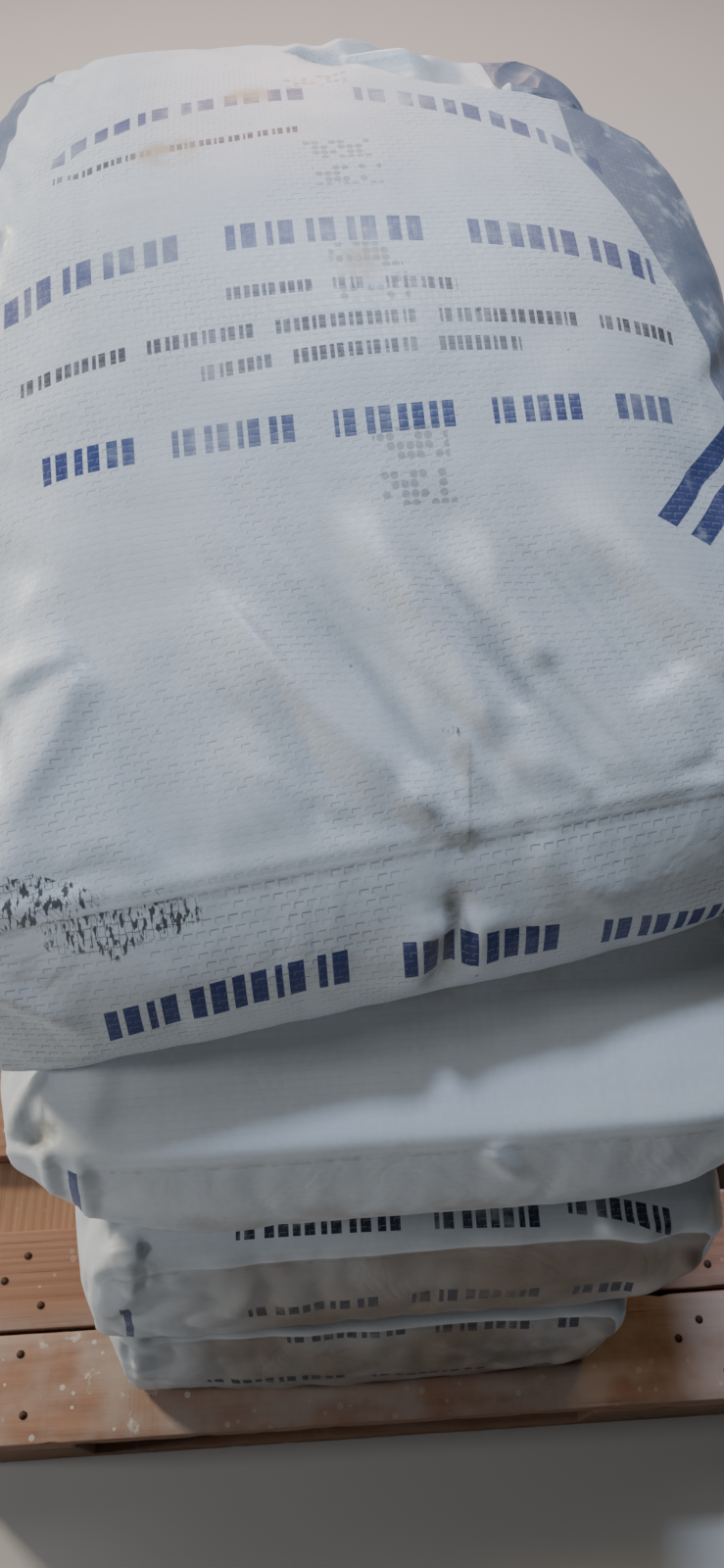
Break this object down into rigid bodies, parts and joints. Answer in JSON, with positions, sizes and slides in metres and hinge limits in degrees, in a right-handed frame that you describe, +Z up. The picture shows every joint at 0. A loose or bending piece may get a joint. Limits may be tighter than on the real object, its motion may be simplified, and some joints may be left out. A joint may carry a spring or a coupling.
{
  "type": "pallet of sacks",
  "caption": "Wooden block pallet carrying a short pile of filled woven sacks of powder on one corner of its deck.",
  "frame": {"origin": "on the floor under the middle of the pallet", "axes": "+X along the deck boards, +Y from the sacks' near ends towards the back of the pallet, +Z up"},
  "size_m": [1.2, 1, 0.7926],
  "materials": {
    "deck_wood": "rough-sawn softwood, warm brown, dusty and scuffed",
    "frame_wood": "rough-sawn softwood, a little darker",
    "block_wood": "sawn softwood block with end grain",
    "woven_sack": "white laminated woven plastic tape fabric with navy print, soft sheen"
  },
  "bodies": {
    "root": {"deck_board_1": "deck_wood", "deck_board_2": "deck_wood", "deck_board_3": "deck_wood", "deck_board_4": "deck_wood", "deck_board_5": "deck_wood", "deck_board_6": "deck_wood", "deck_board_7": "deck_wood", "deck_board_8": "deck_wood", "cross_board_left": "frame_wood", "cross_board_middle": "frame_wood", "cross_board_right": "frame_wood", "bottom_board_front": "frame_wood", "bottom_board_centre": "frame_wood", "bottom_board_back": "frame_wood", "block_front_left": "block_wood", "block_front_middle": "block_wood", "block_front_right": "block_wood", "block_centre_left": "block_wood", "block_centre_middle": "block_wood", "block_centre_right": "block_wood", "block_back_left": "block_wood", "block_back_middle": "block_wood", "block_back_right": "block_wood", "sack_1": "woven_sack", "sack_2": "woven_sack", "sack_3": "woven_sack", "sack_4": "woven_sack"}
  },
  "joints": []
}
